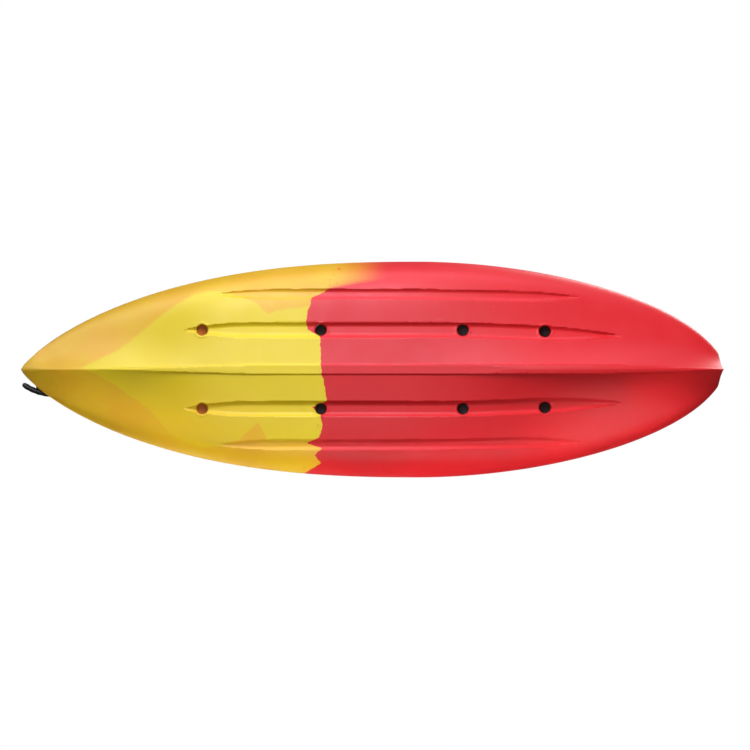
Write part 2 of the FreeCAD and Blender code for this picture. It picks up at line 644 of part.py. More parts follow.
def drain():
    """Threaded bush screwed to the stern deck, its sealing ring and its plug."""
    x, y, z = DRAIN
    inner, outer = DRAIN_TUBE_RADII
    top = z + 3
    bush = cylinder(DRAIN_FLANGE_RADIUS, x, y, z, top).fuse(cylinder(outer, x, y, z - 18, z))
    bush = bush.cut(cylinder(inner, x, y, z - 20, top + 1))
    screws = []
    for index in range(3):
        angle = 2 * math.pi * (index + 0.5) / 3
        place = (x + 15.2 * math.cos(angle), y + 15.2 * math.sin(angle))
        bush = bush.cut(cylinder(SCREW_HOLE_RADIUS, *place, z - 1, top + 1))
        screws.append(screw(*place, top).cut(cylinder(10.4, x, y, top - 1, top + 9)))
    seal = tube(10.0, inner + 0.4, x, y, top + GASKET_GAP, top + 2)
    head = cylinder(10.0, x, y, top + 2, top + 13)
    for index in range(8):
        angle = 2 * math.pi * index / 8
        head = head.cut(cylinder(2.0, x + 10.8 * math.cos(angle), y + 10.8 * math.sin(angle),
                                 top + 1, top + 14))
    plug = head.fuse(cylinder(inner - 0.05, x, y, top - 14, top + 2))
    return bush.removeSplitter(), seal, plug.removeSplitter(), screws


def export(name, shape):
    shape.exportStep(f"parts/{name}.step")
    print(name, shape.isValid(), len(shape.Solids), round(shape.Volume / 1000, 1), "cm3")


def main():
    os.makedirs("parts", exist_ok=True)
    nodes = {"hull": hull()}
    for name, group in saddle_places().items():
        kind = name + "_saddles" if len(group) > 1 else name + "_saddle"
        nodes[kind] = Part.makeCompound([saddle(*place) for place in group])
        nodes[kind + "_screws"] = Part.makeCompound(
            [one for place in group for one in saddle_screws(*place)])
    nodes["bow_strap"], nodes["bow_toggle"] = toggle_set(*BOW_SADDLE, BOW_TOGGLE_YAW, BOW_TOGGLE_DROP)
    nodes["stern_strap"], nodes["stern_toggle"] = toggle_set(*STERN_SADDLE, 0, STERN_TOGGLE_DROP)
    for name, side in (("port", PORT), ("starboard", STARBOARD)):
        nodes[name + "_handle_strap"], nodes[name + "_handle_grip"] = handle_set(side)
        holder, gasket, screws = rod_holder(side)
        nodes[name + "_rod_holder"] = holder
        nodes[name + "_rod_holder_gasket"] = gasket
        nodes[name + "_rod_holder_screws"] = Part.makeCompound(screws)
        for place, (x, y, floor) in SCUPPERS.items():
            nodes[f"{name}_{place}_scupper_plug"] = scupper_plug(x, side * y, floor)
    for name, place in (("bow_hatch", (BOW_HATCH_X, BOW_HATCH_SEAT, BOW_HATCH_RADIUS, 8)),
                        ("console_hatch", (CONSOLE_HATCH_X, CONSOLE_TOP, CONSOLE_HATCH_RADIUS, 6))):
        ring, gasket, lid, screws = hatch(*place)
        nodes[name + "_ring"] = ring
        nodes[name + "_gasket"] = gasket
        nodes[name + "_lid"] = lid
        nodes[name + "_screws"] = Part.makeCompound(screws)
    bush, seal, plug, screws = drain()
    nodes["drain_bush"] = bush
    nodes["drain_seal"] = seal
    nodes["drain_plug"] = plug
    nodes["drain_screws"] = Part.makeCompound(screws)
    for name, shape in nodes.items():
        export(name, shape)


main()
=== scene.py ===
import json
import math

import bmesh
import bpy
import numpy as np
from mathutils import Matrix, Vector


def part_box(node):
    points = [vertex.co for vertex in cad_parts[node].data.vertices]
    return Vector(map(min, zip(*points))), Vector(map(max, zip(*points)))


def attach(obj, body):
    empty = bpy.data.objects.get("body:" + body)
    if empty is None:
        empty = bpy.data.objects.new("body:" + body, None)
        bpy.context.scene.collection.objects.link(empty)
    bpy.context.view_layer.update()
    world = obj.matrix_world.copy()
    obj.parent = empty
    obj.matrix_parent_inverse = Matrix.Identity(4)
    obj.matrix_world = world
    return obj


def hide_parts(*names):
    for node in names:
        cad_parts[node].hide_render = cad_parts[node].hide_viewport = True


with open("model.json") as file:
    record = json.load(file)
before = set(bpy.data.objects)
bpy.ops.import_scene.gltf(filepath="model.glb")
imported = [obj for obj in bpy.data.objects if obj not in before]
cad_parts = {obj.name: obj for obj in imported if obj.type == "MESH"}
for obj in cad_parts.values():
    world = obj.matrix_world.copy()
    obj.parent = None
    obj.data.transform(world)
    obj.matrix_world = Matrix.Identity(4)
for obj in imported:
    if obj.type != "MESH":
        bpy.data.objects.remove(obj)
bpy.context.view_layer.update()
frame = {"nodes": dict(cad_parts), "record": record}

# A moulded sit-on-top kayak, in metres: +X to the bow, +Y to port, +Z up, keel on z = 0.
# The shell is built here from its hull form; the fittings take their places from the frame.

SCENE = bpy.context.scene
PORT, STARBOARD = 1, -1

# ---- hull form ----
LENGTH = 2.7
HALF_BEAM = 0.415
WIDEST_STATION = 0.571
FORE_POWERS = (2.465, 0.758)
AFT_POWERS = (1.869, 0.558)
AFT_RUN = 0.43556
GUNWALE_BAND = 0.018
GUNWALE_LIP = 0.005          # how far the sides sit inside the gunwale band
DECK_CROWN = 0.030
SHEER_MIDSHIPS = 0.250
SHEER_RISE = (0.090, 0.060)
ROCKER = (0.300, 0.170)
KEEL_LIFT = 0.004            # hull bottom above the face of the keel strip
STRIP_DROP = 0.0062
STRIP_VEE = 0.3              # how much of the V the strip keeps
STRIP_HALF_WIDTH = ((-1.33, 0.004), (-0.886, 0.0175), (0.462, 0.0175), (1.04, 0.002))   # at x
NOSE_ROUNDING = 0.030
TRANSOM_V = 9.5 / 72

# ---- bottom and deck features: centre, half-width, front and rear tips with their tapers ----
INNER_GROOVE = {"y": 0.148, "half": 0.029, "front": (0.705, 0.260), "rear": (-0.963, 0.330),
                "rear_y": 0.128, "depth": 0.013}
OUTER_GROOVE = {"y": 0.283, "half": 0.020, "front": (0.586, 0.230), "rear": (-0.809, 0.260),
                "rear_y": 0.275, "depth": 0.010}
GROOVE_SHOULDER = 0.018
GROOVE_SWING = 0.7                     # length over which a groove bends from rear_y to y
SCUPPERS = ((0.185, 0.148, 0.127), (-0.350, 0.148, 0.135), (-0.662, 0.144, 0.190))
SCUPPER_EDGE = 0.0045
SCUPPER_OVERRUN = 0.06                 # how far the tubes are cut on above the floor of their well
SCUPPER_LIP = {"radius": 0.0265, "width": 0.0032, "height": 0.0016}
BLIND_SOCKET = (0.632, 0.148, 0.060)   # a scupper in outline only, closed this high up
SOCKET_END_ROUNDING = 0.006
HOLLOW_WALL = 0.014                    # round the hollows under the hatches: two grid steps or so
SCUPPER_RADII = (0.0205, 0.024)
SEAT_FLOOR = 0.135
TANK_FLOOR = 0.190
LEG_FLOOR = (0.122, 0.058, 0.100)      # height at its aft end, slope, where the aft end is
CONSOLE_TOP = 0.262
FOOT_STEPS = ((0.520, 0.228), (0.600, 0.222), (0.680, 0.210), (0.760, 0.193))   # x, side of the well
STEP_HALF = (0.020, 0.029, 0.031)
STEP_INBOARD, STEP_ABOVE_FLOOR = 0.011, 0.025
STEP_ROUNDING, STEP_FILLET = 0.010, 0.007

# ---- roundings: the corner in plan and the fillet at the floor of each well ----
SEAT_ROUNDING = (0.105, 0.036)
LEG_ROUNDING = (0.040, 0.026)
TANK_ROUNDING = (0.060, 0.030)
CONSOLE_ROUNDING = (0.018, 0.008)
WELL_DRAFT = 0.05                      # slope of the walls
WELL_RIM = 0.009
TANK_RIM_HEIGHT = 0.29
LEG_DRAFT_SHARE = 0.6                  # of that slope, in the leg wells
SEAT_TO_LEG_FILLET = 0.020
CONSOLE_FILLET = 0.010
BOTTOM_EDGE = 0.003
DECK_EDGE = 0.008
TRANSOM_EDGE = 0.004
BEAD_HEIGHT, BEAD_OFFSET = 0.005, 0.020
COCKPIT_BEAD, TANK_BEAD = 0.016, 0.014

# ---- seats and holes for the fittings ----
PAD = {"margin": 0.003, "corner": 0.006, "edge": 0.0015, "depth": 0.02, "fillet": 0.004}
BOW_PAN = {"margin": 0.012, "floor": 0.004, "rim": 0.005}
DRAIN_PAN = {"margin": 0.006, "flange": 0.003, "floor": 0.002, "rim": 0.003}
DRAIN_HOLE, DRAIN_HOLE_BELOW = 0.0115, 0.004    # radius, how far it goes on under the bush
ROD_PAN = {"margin": 0.005, "corner": 0.020, "floor": 0.002, "rim": 0.003}
ROD_SLOT_HALF = (0.033, 0.026)
ROD_SLOT_CORNER = 0.0255
ROD_SLOT_DEPTH = 0.02
BOW_HATCH_DEPTH, CONSOLE_HATCH_DEPTH = 0.17, 0.20
HATCH_GAP = 0.0006
HATCH_HOLLOW_MARGIN = 0.012
HATCH_NECK_DEPTH = 0.03


def smooth(value):
    value = np.clip(value, 0.0, 1.0)
    return value * value * (3 - 2 * value)


def station(x):
    return (LENGTH / 2 - x) / LENGTH


def half_beam(s):
    fore = np.clip((WIDEST_STATION - s) / WIDEST_STATION, 0, 1)
    aft = np.clip((s - WIDEST_STATION) / AFT_RUN, 0, 1)
    plan_fore = (1 - fore ** FORE_POWERS[0]) ** FORE_POWERS[1]
    plan_aft = (1 - aft ** AFT_POWERS[0]) ** AFT_POWERS[1]
    return HALF_BEAM * np.where(s <= WIDEST_STATION, plan_fore, plan_aft)


def keel_height(s):
    fore = np.clip((0.42 - s) / 0.42, 0, 1) ** 3.4
    aft = np.clip((s - 0.62) / 0.38, 0, 1) ** 2.6
    return KEEL_LIFT + ROCKER[0] * fore + ROCKER[1] * aft


def sheer_height(s):
    fore = np.clip((0.55 - s) / 0.55, 0, 1) ** 2
    aft = np.clip((s - 0.55) / 0.45, 0, 1) ** 2
    return KEEL_LIFT + SHEER_MIDSHIPS + SHEER_RISE[0] * fore + SHEER_RISE[1] * aft


def bottom_share(t, s):
    """Height of the bottom between keel (0) and sheer (1) at the share t of the half-beam."""
    flat = 0.08 * (1 - (1 - t) ** 2.4) + 0.92 * (1 - np.sqrt(np.maximum(0, 1 - t ** 7)))
    vee = 0.6 * (1 - (1 - t) ** 2.5) + 0.4 * (1 - np.sqrt(np.maximum(0, 1 - t ** 6)))
    weight = smooth((0.30 - s) / 0.26) + smooth((s - 0.52) / 0.42)
    return flat + weight * (vee - flat)


def crown(s):
    return DECK_CROWN * (half_beam(s) / HALF_BEAM) ** 0.7


def groove_depth(x, y, spec):
    """How far a groove lifts the bottom: full inside, easing out over its shoulder, pointed ends."""
    front, front_taper = spec["front"]
    rear, rear_taper = spec["rear"]
    centre = spec["rear_y"] + (spec["y"] - spec["rear_y"]) * smooth((x - rear) / GROOVE_SWING)
    share = np.minimum(np.minimum(1.0, (front - x) / front_taper), (x - rear) / rear_taper)
    half = spec["half"] * np.sin(math.pi / 2 * np.clip(share, 0, 1)) ** 0.8
    inside = half - np.abs(y - centre)
    shoulder = np.minimum(GROOVE_SHOULDER, 0.7 * half + 0.002)
    climb = 1 - (1 - np.clip(inside / shoulder, 0, 1)) ** 2
    return spec["depth"] * climb * smooth(half / 0.012) * (share > 0)


def keel_strip(x, y, low, bottom):
    """The bottom with its keel strip: a nearly flat face where the bottom beside it runs up in a V."""
    half = np.interp(x, *zip(*STRIP_HALF_WIDTH))
    ends = smooth((1.06 - x) / 0.12)
    face = low - STRIP_DROP * ends + STRIP_VEE * (bottom - low)
    share = smooth((half - y) / 0.005 + 0.5) * ends
    return bottom + (face - bottom) * share


def bottom_height(x, y):
    s = station(x)
    beam = np.maximum(half_beam(s), 1e-4)
    ridge = 0.004 + NOSE_ROUNDING * smooth((0.045 - s) / 0.045)
    softened = np.sqrt(y * y + ridge ** 2) - ridge
    t = np.clip(softened / beam, 0, 1)
    low = keel_height(s)
    z = low + (sheer_height(s) - low) * bottom_share(t, s)
    z = keel_strip(x, y, low, z) + groove_depth(x, y, INNER_GROOVE) + groove_depth(x, y, OUTER_GROOVE)
    for sx, sy, _ in SCUPPERS + (BLIND_SOCKET,):
        ring = np.hypot(x - sx, y - sy) - SCUPPER_LIP["radius"]
        z = z - SCUPPER_LIP["height"] * np.exp(-(ring / SCUPPER_LIP["width"]) ** 2)
    return np.maximum(z, 0.0)


# ---- distance tools: negative inside ----

def cut_round(a, b, radius):
    """Intersection of two fields with a rounded outer edge."""
    edge = np.sqrt(np.maximum(a + radius, 0) ** 2 + np.maximum(b + radius, 0) ** 2)
    return np.minimum(np.maximum(a, b), -radius) + edge


def join_round(a, b, radius):
    """Union of two fields with a fillet in the corner."""
    return -cut_round(-a, -b, radius)


def polygon(x, y, points):
    """Exact plan distance to a closed polygon."""
    shape = np.broadcast(x, y).shape
    nearest = np.full(shape, 1e9)
    inside = np.zeros(shape, bool)
    for (ax, ay), (bx, by) in zip(points, points[1:] + points[:1]):
        ex, ey = bx - ax, by - ay
        along = np.clip(((x - ax) * ex + (y - ay) * ey) / (ex * ex + ey * ey), 0, 1)
        nearest = np.minimum(nearest, (x - ax - ex * along) ** 2 + (y - ay - ey * along) ** 2)
        crosses = (ay > y) != (by > y)
        if by != ay:
            inside ^= crosses & (x < ax + (y - ay) * ex / (by - ay))
    distance = np.sqrt(nearest)
    return np.where(inside, -distance, distance)


def inset(points, amount):
    """The polygon with every edge moved inwards by amount (points run anticlockwise)."""
    moved = []
    count = len(points)
    for i in range(count):
        p, q, r = (np.array(points[(i + k) % count], float) for k in (-1, 0, 1))
        d1 = (q - p) / np.linalg.norm(q - p)
        d2 = (r - q) / np.linalg.norm(r - q)
        n1, n2 = np.array([-d1[1], d1[0]]), np.array([-d2[1], d2[0]])
        middle = (n1 + n2) / (1 + n1 @ n2)
        moved.append(tuple(q + middle * amount))
    return moved


def rounded_polygon(x, y, points, radius):
    return polygon(x, y, inset(points, radius)) - radius


def rounded_rectangle(dx, dy, radius):
    """Distance to a rectangle from offsets beyond its sides, with rounded corners."""
    dx, dy = dx + radius, dy + radius
    return np.minimum(np.maximum(dx, dy), 0) + np.hypot(np.maximum(dx, 0), np.maximum(dy, 0)) - radius


def rounded_box(dx, dy, dz, radius):
    """Distance to a box from offsets beyond its faces, with rounded edges."""
    dx, dy, dz = dx + radius, dy + radius, dz + radius
    outside = np.sqrt(np.maximum(dx, 0) ** 2 + np.maximum(dy, 0) ** 2 + np.maximum(dz, 0) ** 2)
    return np.minimum(np.maximum(np.maximum(dx, dy), dz), 0) + outside - radius


SEAT_PLAN = [(0.150, -0.235), (0.150, 0.235), (-0.420, 0.235), (-0.420, -0.235)]
TANK_PLAN = [(-0.500, -0.245), (-0.500, 0.245), (-0.960, 0.150), (-0.960, -0.150)]
LEG_PLAN = [(0.100, 0.058), (0.200, 0.118), (0.460, 0.118), (0.570, 0.050), (0.860, 0.050),
            (0.860, 0.172), (0.620, 0.222), (0.100, 0.245)]
CONSOLE_PLAN = [(0.160, -0.117), (0.880, -0.117), (0.880, 0.117), (0.160, 0.117)]


def islands(node):
    """(lowest, highest) corner of each separate solid in a CAD node, fore to aft, port first."""
    bm = bmesh.new()
    bm.from_mesh(frame["nodes"][node].data)
    bmesh.ops.remove_doubles(bm, verts=bm.verts, dist=1e-6)
    left = set(bm.verts)
    found = []
    while left:
        stack = [left.pop()]
        group = []
        while stack:
            vert = stack.pop()
            group.append(vert.co.copy())
            for edge in vert.link_edges:
                other = edge.other_vert(vert)
                if other in left:
                    left.remove(other)
                    stack.append(other)
        co = np.array(group)
        found.append((Vector(co.min(0)), Vector(co.max(0))))
    bm.free()
    return sorted(found, key=lambda box: (-round(box[0].y > 0), -box[0].x))


SADDLE_NODES = ("bow_saddle", "stern_saddle", "port_handle_saddles", "starboard_handle_saddles",
                "tank_well_saddles", "seat_saddles")
SADDLE_BOXES = {node: islands(node) for node in SADDLE_NODES}
PORT_SADDLES = [pair for pairs in SADDLE_BOXES.values() for pair in pairs
                if (pair[0].y + pair[1].y) / 2 > -0.001]
BOW_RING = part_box("bow_hatch_ring")
CONSOLE_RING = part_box("console_hatch_ring")
ROD_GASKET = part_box("port_rod_holder_gasket")
DRAIN_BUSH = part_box("drain_bush")
RING_FLANGE = 0.005
RING_NECK_INSET = 0.017


def middle_of(pair):
    return (pair[0] + pair[1]) / 2


def hull_field(x, y, z):
    """Signed field of the whole moulding, negative in the plastic; y is taken as |y|."""
    y = np.abs(y)
    s = station(x)
    sheer = sheer_height(s)
    beam = half_beam(s)
    step = 0.0005
    slope_plan = (half_beam(station(x + step)) - beam) / step
    lip = GUNWALE_LIP * smooth((sheer + 0.002 - z) / 0.014)
    side = (y - (beam - lip * smooth(beam / 0.08))) / np.sqrt(1 + slope_plan ** 2)

    low = bottom_height(x, y)
    slope_x = (bottom_height(x + step, y) - low) / step
    slope_y = (bottom_height(x, y + step) - low) / step
    under = (low - z) / np.sqrt(1 + slope_x ** 2 + slope_y ** 2)
    body = cut_round(under, side, BOTTOM_EDGE)

    t = np.clip(y / np.maximum(beam, 1e-4), 0, 1)
    deck = sheer + GUNWALE_BAND + crown(s) * (1 - t * t)
    seat_d = rounded_polygon(x, y, SEAT_PLAN, SEAT_ROUNDING[0])
    leg_d = rounded_polygon(x, y, LEG_PLAN, LEG_ROUNDING[0])
    tank_d = rounded_polygon(x, y, TANK_PLAN, TANK_ROUNDING[0])
    cockpit_d = np.minimum(seat_d, leg_d)
    # a soft raised bead round the cockpit and the tank well
    for distance, width in ((cockpit_d, COCKPIT_BEAD), (tank_d, TANK_BEAD)):
        deck = deck + BEAD_HEIGHT * np.exp(-((distance - BEAD_OFFSET) / width) ** 2)
    top = z - deck
    body = cut_round(body, top, DECK_EDGE)
    transom = (-x - LENGTH / 2 + TRANSOM_V * y) / math.hypot(1, TRANSOM_V)
    body = cut_round(body, transom, TRANSOM_EDGE)
    body = np.maximum(body, x - LENGTH / 2)

    # level pads under the saddles
    for pair in PORT_SADDLES:
        centre = middle_of(pair)
        half_x = (pair[1].x - pair[0].x) / 2 + PAD["margin"]
        half_y = (pair[1].y - pair[0].y) / 2 + PAD["margin"]
        plan = rounded_rectangle(np.abs(x - centre.x) - half_x, np.abs(y - abs(centre.y)) - half_y,
                                 PAD["corner"])
        pad = cut_round(plan, z - pair[0].z, PAD["edge"])
        pad = np.maximum(pad, pair[0].z - PAD["depth"] - z)
        body = join_round(body, pad, PAD["fillet"])

    # recesses in the deck
    seat = cut_round(seat_d + (CONSOLE_TOP - z) * WELL_DRAFT, SEAT_FLOOR - z, SEAT_ROUNDING[1])
    floor = LEG_FLOOR[0] + LEG_FLOOR[1] * (x - LEG_FLOOR[2])
    leg = cut_round(leg_d + (CONSOLE_TOP - z) * WELL_DRAFT * LEG_DRAFT_SHARE, floor - z, LEG_ROUNDING[1])
    for step_x, wall_y in FOOT_STEPS:
        base = LEG_FLOOR[0] + LEG_FLOOR[1] * (step_x - LEG_FLOOR[2]) + STEP_ABOVE_FLOOR
        pocket = rounded_box(np.abs(x - step_x) - STEP_HALF[0],
                             np.abs(y - wall_y + STEP_INBOARD) - STEP_HALF[1],
                             np.abs(z - base - STEP_HALF[2]) - STEP_HALF[2], STEP_ROUNDING)
        leg = join_round(leg, pocket, STEP_FILLET)
    void = join_round(seat, leg, SEAT_TO_LEG_FILLET)
    console_d = rounded_polygon(x, y, CONSOLE_PLAN, CONSOLE_ROUNDING[0])
    console = cut_round(console_d, CONSOLE_TOP - z, CONSOLE_ROUNDING[1])
    void = join_round(void, console, CONSOLE_FILLET)
    tank = cut_round(tank_d + (TANK_RIM_HEIGHT - z) * WELL_DRAFT, TANK_FLOOR - z, TANK_ROUNDING[1])
    void = np.minimum(void, tank)
    body = cut_round(body, -void, WELL_RIM)

    bow = middle_of(BOW_RING)
    reach = (BOW_RING[1].x - BOW_RING[0].x) / 2
    pan = cut_round(np.hypot(x - bow.x, y) - reach - BOW_PAN["margin"],
                    BOW_RING[1].z - RING_FLANGE - z, BOW_PAN["floor"])
    body = cut_round(body, -pan, BOW_PAN["rim"])
    drain = middle_of(DRAIN_BUSH)
    drain_radius = (DRAIN_BUSH[1].x - DRAIN_BUSH[0].x) / 2
    pan = cut_round(np.hypot(x - drain.x, y) - drain_radius - DRAIN_PAN["margin"],
                    DRAIN_BUSH[1].z - DRAIN_PAN["flange"] - z, DRAIN_PAN["floor"])
    body = cut_round(body, -pan, DRAIN_PAN["rim"])
    rod = middle_of(ROD_GASKET)
    half_x = (ROD_GASKET[1].x - ROD_GASKET[0].x) / 2 + ROD_PAN["margin"]
    half_y = (ROD_GASKET[1].y - ROD_GASKET[0].y) / 2 + ROD_PAN["margin"]
    plan = rounded_rectangle(np.abs(x - rod.x) - half_x, np.abs(y - rod.y) - half_y, ROD_PAN["corner"])
    pan = cut_round(plan, ROD_GASKET[0].z - z, ROD_PAN["floor"])
    body = cut_round(body, -pan, ROD_PAN["rim"])
    shell = body

    # openings for the hatches, rod holders and drain, with the hollow that shows through them
    for ring, depth in ((BOW_RING, BOW_HATCH_DEPTH), (CONSOLE_RING, CONSOLE_HATCH_DEPTH)):
        centre = middle_of(ring)
        neck = (ring[1].x - ring[0].x) / 2 - RING_NECK_INSET + HATCH_GAP
        seat_z = ring[1].z - RING_FLANGE
        hole = np.maximum(np.hypot(x - centre.x, y) - neck, seat_z - HATCH_NECK_DEPTH - z)
        reach = neck + HATCH_HOLLOW_MARGIN
        room = np.maximum(np.abs(x - centre.x) - reach, np.maximum(y - reach, seat_z - depth - z))
        hollow = np.maximum(shell + HOLLOW_WALL, room)
        body = np.maximum(body, -np.minimum(hole, hollow))
    slot = rounded_rectangle(np.abs(x - rod.x) - ROD_SLOT_HALF[0],
                             np.abs(y - rod.y) - ROD_SLOT_HALF[1], ROD_SLOT_CORNER)
    body = np.maximum(body, -np.maximum(slot, ROD_GASKET[0].z - ROD_SLOT_DEPTH - z))
    drain_hole = np.hypot(x - drain.x, y) - DRAIN_HOLE
    body = np.maximum(body, -np.maximum(drain_hole, DRAIN_BUSH[0].z - DRAIN_HOLE_BELOW - z))

    # scuppers
    for sx, sy, well in SCUPPERS:
        radius = SCUPPER_RADII[0] + (SCUPPER_RADII[1] - SCUPPER_RADII[0]) * z / well
        tube = np.hypot(x - sx, y - sy) - radius
        body = cut_round(body, -np.maximum(tube, z - well - SCUPPER_OVERRUN), SCUPPER_EDGE)
    sx, sy, top = BLIND_SOCKET
    socket = cut_round(np.hypot(x - sx, y - sy) - SCUPPER_RADII[0], z - top, SOCKET_END_ROUNDING)
    body = cut_round(body, -socket, SCUPPER_EDGE)
    return body


# ---- meshing the field ----

def grid_axis(low, high, step):
    return low + step * np.arange(int(math.ceil((high - low) / step)) + 1)


CORNERS = [(i, j, k) for i in (0, 1) for j in (0, 1) for k in (0, 1)]
CELL_EDGES = [(a, b) for a in CORNERS for b in CORNERS
              if a < b and sum(abs(p - q) for p, q in zip(a, b)) == 1]


def surface_net(field, axes):
    """Quad mesh of the zero level: one vertex per crossed cell, one quad per crossed grid edge."""
    solid = field < 0
    nx, ny, nz = (n - 1 for n in field.shape)
    corner = {c: solid[c[0]:nx + c[0], c[1]:ny + c[1], c[2]:nz + c[2]] for c in CORNERS}
    count = sum(c.astype(np.int8) for c in corner.values())
    cells = np.argwhere((count > 0) & (count < 8))
    index = -np.ones((nx, ny, nz), np.int64)
    index[tuple(cells.T)] = np.arange(len(cells))
    total = np.zeros((len(cells), 3))
    crossings = np.zeros(len(cells))
    for a, b in CELL_EDGES:
        fa = field[cells[:, 0] + a[0], cells[:, 1] + a[1], cells[:, 2] + a[2]]
        fb = field[cells[:, 0] + b[0], cells[:, 1] + b[1], cells[:, 2] + b[2]]
        crossed = (fa < 0) != (fb < 0)
        share = np.where(crossed, fa / np.where(crossed, fa - fb, 1), 0)
        point = np.array(a) + share[:, None] * (np.array(b) - np.array(a))
        total += point * crossed[:, None]
        crossings += crossed
    local = total / crossings[:, None]
    low = np.array([axis[0] for axis in axes])
    step = np.array([axis[1] - axis[0] for axis in axes])
    points = low + (cells + local) * step
    quads = []
    for axis in range(3):
        first = [slice(1, -1)] * 3
        second = [slice(1, -1)] * 3
        first[axis], second[axis] = slice(0, -1), slice(1, None)
        a, b = solid[tuple(first)], solid[tuple(second)]
        where = np.argwhere(a != b)
        offset = np.ones(3, int)
        offset[axis] = 0
        base = where + offset
        u, v = [k for k in range(3) if k != axis]
        ring = []
        for du, dv in ((-1, -1), (0, -1), (0, 0), (-1, 0)):
            cell = base.copy()
            cell[:, u] += du
            cell[:, v] += dv
            ring.append(index[tuple(cell.T)])
        quad = np.stack(ring, 1)
        flip = a[tuple(where.T)] == (axis == 1)
        quad[flip] = quad[flip][:, ::-1]
        quads.append(quad)
    return points, np.concatenate(quads)


def gradient(points, step=0.0008):
    result = np.empty_like(points)
    for axis in range(3):
        shift = np.zeros(3)
        shift[axis] = step
        ahead, behind = points + shift, points - shift
        result[:, axis] = (hull_field(*ahead.T) - hull_field(*behind.T)) / (2 * step)
    return result


HULL_GRID = (0.0066, 0.0048)       # grid steps along the hull and across it
GRID_SIDE, GRID_TOP = 0.43, 0.385
SLAB = 48                          # grid planes that are worked out at a time


def moulded_hull():
    """Points, quads and normals of the hull shell."""
    scale = 1.0
    dx, dy = HULL_GRID[0] * scale, HULL_GRID[1] * scale
    xs = grid_axis(-LENGTH / 2 - 2 * dx, LENGTH / 2 + 2 * dx, dx)
    ys = dy * (np.arange(int(GRID_SIDE / dy) + 1) + 0.5)
    zs = grid_axis(-2.3 * dy, GRID_TOP, dy)
    half = np.empty((len(xs), len(ys), len(zs)), np.float32)
    for start in range(0, len(xs), SLAB):
        part = xs[start:start + SLAB]
        half[start:start + SLAB] = hull_field(part[:, None, None], ys[None, :, None], zs[None, None, :])
    field = np.concatenate([half[:, ::-1], half], 1)
    ys = np.concatenate([-ys[::-1], ys])
    points, quads = surface_net(field.astype(float), (xs, ys, zs))
    for _ in range(3):
        value = hull_field(*points.T)
        slope = gradient(points)
        length = np.maximum((slope ** 2).sum(1), 0.05)
        move = -(value / length)[:, None] * slope
        reach = np.linalg.norm(move, axis=1)
        move *= np.minimum(1, 0.5 * dy / np.maximum(reach, 1e-9))[:, None]
        points += move
    points[:, 2] = np.maximum(points[:, 2], 0.0)
    normals = gradient(points)
    normals /= np.maximum(np.linalg.norm(normals, axis=1), 1e-9)[:, None]
    return points, quads, normals


def mesh_object(name, points, faces, normals=None):
    data = bpy.data.meshes.new(name)
    data.from_pydata([tuple(p) for p in points], [], [tuple(int(i) for i in f) for f in faces])
    data.validate()
    data.polygons.foreach_set("use_smooth", np.ones(len(data.polygons), bool))
    if normals is not None:
        data.normals_split_custom_set_from_vertices([tuple(n) for n in normals])
    data.update()
    obj = bpy.data.objects.new(name, data)
    SCENE.collection.objects.link(obj)
    return obj


# ---- materials ----

